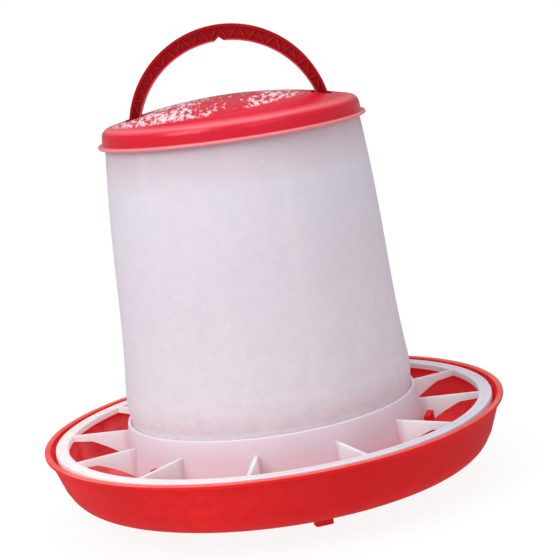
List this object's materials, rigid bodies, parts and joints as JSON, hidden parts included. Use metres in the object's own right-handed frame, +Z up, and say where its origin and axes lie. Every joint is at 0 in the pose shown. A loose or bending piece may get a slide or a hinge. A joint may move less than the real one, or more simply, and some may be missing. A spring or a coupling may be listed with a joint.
{
  "type": "poultry feeder",
  "caption": "Gravity poultry feeder: tapered hopper barrel on a finned guard grille in a round dish, with a lid and an arched carry handle.",
  "frame": {"origin": "on the ground under the middle of the dish", "axes": "+Z up along the feeder's axis, -Y is the front, and the handle hinges about X"},
  "size_m": [0.263, 0.263, 0.2682],
  "materials": {
    "dish_red": "smooth injection-moulded red, satin to gloss",
    "grille_white": "smooth injection-moulded white",
    "barrel_milky": "milky translucent blow-moulded, satin",
    "lid_red": "glossy injection-moulded red",
    "handle_red": "glossy injection-moulded dark red"
  },
  "bodies": {
    "dish": {"feed_dish": "dish_red"},
    "grille": {"guard_grille": "grille_white"},
    "barrel": {"hopper_barrel": "barrel_milky"},
    "lid": {"lid": "lid_red"},
    "handle": {"carry_handle": "handle_red"}
  },
  "joints": [
    {"name": "grille_twist", "type": "hinge", "parent": "dish", "child": "grille", "pos_m": [0, 0, 0.045], "axis": [0, 0, 1], "range_deg": [0, 13]},
    {"name": "barrel_lift", "type": "slide", "parent": "grille", "child": "barrel", "axis": [0, 0, 1], "range_m": [0, 0.04]},
    {"name": "lid_lift", "type": "slide", "parent": "barrel", "child": "lid", "axis": [0, 0, 1], "range_m": [0, 0.06]},
    {"name": "handle_swing", "type": "hinge", "parent": "lid", "child": "handle", "pos_m": [0, 0, 0.217], "axis": [1, 0, 0], "range_deg": [-35, 35]}
  ]
}
